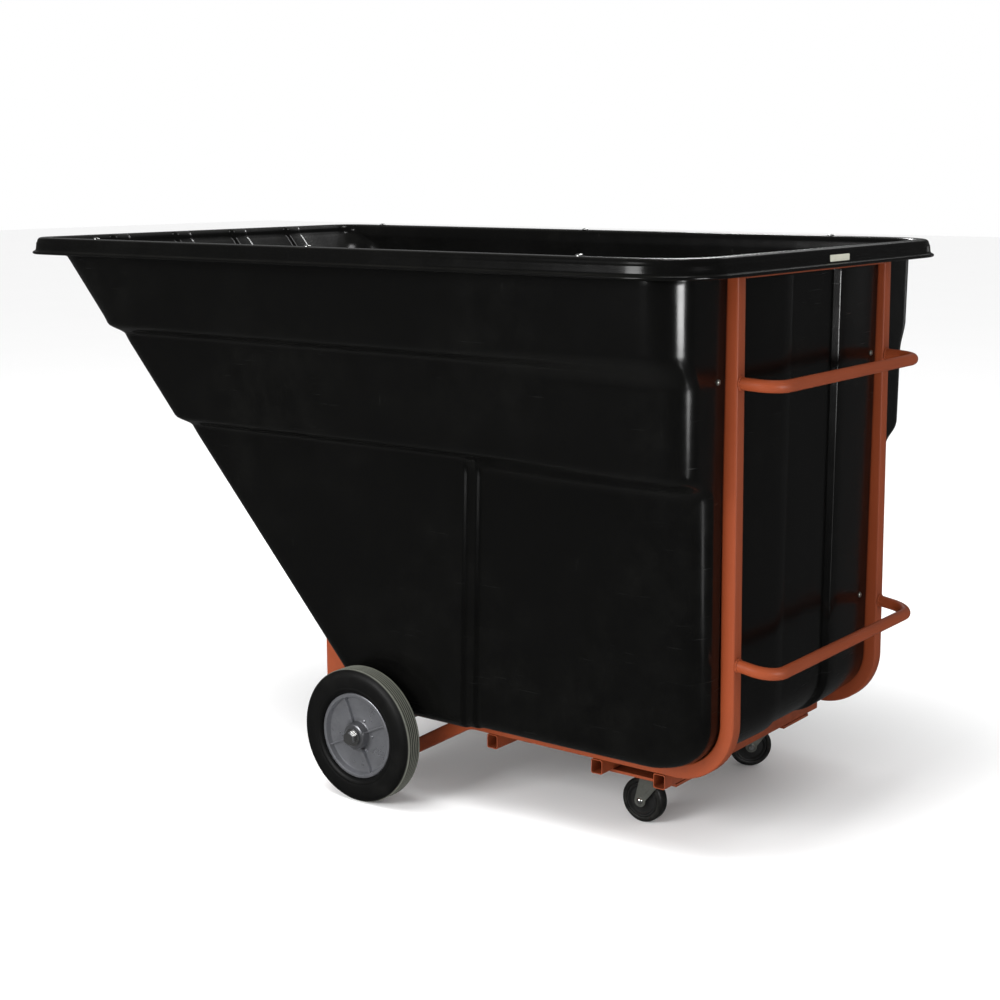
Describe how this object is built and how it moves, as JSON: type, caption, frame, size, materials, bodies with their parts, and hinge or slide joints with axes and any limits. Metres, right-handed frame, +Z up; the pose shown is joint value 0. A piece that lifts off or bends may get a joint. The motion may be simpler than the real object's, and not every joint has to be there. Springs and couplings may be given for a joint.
{
  "type": "tilt truck hopper cart",
  "caption": "Black moulded tilt truck with sloped dumping nose on an orange tube frame with push handles, large main wheels and swivel casters.",
  "frame": {"origin": "centre of the truck's bounding box in plan, on the floor", "axes": "+X towards the push handles at the rear, +Y to the left of a person pushing, +Z up"},
  "size_m": [1.951, 1.195, 1.238],
  "materials": {
    "hopper_plastic": "black rotomoulded plastic, satin with fine orange-peel",
    "frame_paint": "orange-red powder coat",
    "tyre_rubber": "black rubber, dusty tread",
    "caster_rubber": "hard black rubber tread",
    "caster_hub_plastic": "dark moulded plastic",
    "wheel_metal": "cast, lightly brushed",
    "plated_steel": "bright plated",
    "zinc_steel": "zinc plated",
    "nylon": "moulded nylon",
    "label_plastic": "blank pale plate"
  },
  "bodies": {
    "truck": {"axle": "plated_steel", "axle_nut_left": "plated_steel", "axle_nut_right": "plated_steel", "axle_plate_left": "frame_paint", "axle_plate_right": "frame_paint", "axle_washer_left": "plated_steel", "axle_washer_right": "plated_steel", "caster_bolt_left_1": "plated_steel", "caster_bolt_left_2": "plated_steel", "caster_bolt_left_3": "plated_steel", "caster_bolt_left_4": "plated_steel", "caster_bolt_right_1": "plated_steel", "caster_bolt_right_2": "plated_steel", "caster_bolt_right_3": "plated_steel", "caster_bolt_right_4": "plated_steel", "caster_kingpin_left": "plated_steel", "caster_kingpin_right": "plated_steel", "caster_mount_left": "frame_paint", "caster_mount_right": "frame_paint", "caster_plate_left": "zinc_steel", "caster_plate_right": "zinc_steel", "cross_tube_front": "frame_paint", "cross_tube_middle": "frame_paint", "cross_tube_nose": "frame_paint", "cross_tube_rear": "frame_paint", "hopper": "hopper_plastic", "lower_handle": "frame_paint", "rear_bolt_lower_left": "plated_steel", "rear_bolt_upper_left": "plated_steel", "rear_bolt_upper_right": "plated_steel", "rear_top_bar": "frame_paint", "rim_bar_left": "plated_steel", "rim_bar_right": "plated_steel", "rim_bolt_left_1": "plated_steel", "rim_bolt_left_2": "plated_steel", "rim_bolt_left_3": "plated_steel", "rim_bolt_right_1": "plated_steel", "rim_bolt_right_2": "plated_steel", "rim_bolt_right_3": "plated_steel", "rim_label": "label_plastic", "side_frame_left": "frame_paint", "side_frame_right": "frame_paint", "upper_handle": "frame_paint"},
    "main_wheel_right": {"tyre_right": "tyre_rubber", "wheel_disc_right": "wheel_metal", "axle_bush_right": "nylon"},
    "caster_swivel_right": {"caster_fork_right": "zinc_steel", "caster_axle_right": "plated_steel", "caster_axle_nut_right": "plated_steel"},
    "caster_wheel_right": {"caster_tyre_right": "caster_rubber", "caster_hub_right": "caster_hub_plastic"},
    "main_wheel_left": {"tyre_left": "tyre_rubber", "wheel_disc_left": "wheel_metal", "axle_bush_left": "nylon"},
    "caster_swivel_left": {"caster_fork_left": "zinc_steel", "caster_axle_left": "plated_steel", "caster_axle_nut_left": "plated_steel"},
    "caster_wheel_left": {"caster_tyre_left": "caster_rubber", "caster_hub_left": "caster_hub_plastic"}
  },
  "joints": [
    {"name": "main_wheel_right_spin", "type": "hinge", "parent": "truck", "child": "main_wheel_right", "pos_m": [0.02937, -0.5005, 0.1524], "axis": [0, 1, 0], "continuous": true},
    {"name": "caster_right_swivel", "type": "hinge", "parent": "truck", "child": "caster_swivel_right", "pos_m": [0.64137, -0.237, 0.107], "axis": [0, 0, 1], "continuous": true},
    {"name": "main_wheel_left_spin", "type": "hinge", "parent": "truck", "child": "main_wheel_left", "pos_m": [0.02937, 0.5005, 0.1524], "axis": [0, 1, 0], "continuous": true},
    {"name": "caster_left_swivel", "type": "hinge", "parent": "truck", "child": "caster_swivel_left", "pos_m": [0.64137, 0.237, 0.107], "axis": [0, 0, 1], "continuous": true},
    {"name": "caster_right_spin", "type": "hinge", "parent": "caster_swivel_right", "child": "caster_wheel_right", "pos_m": [0.61137, -0.237, 0.05], "axis": [0, 1, 0], "continuous": true},
    {"name": "caster_left_spin", "type": "hinge", "parent": "caster_swivel_left", "child": "caster_wheel_left", "pos_m": [0.61839, 0.21772, 0.05], "axis": [-0.6428, 0.766, 0], "continuous": true}
  ]
}
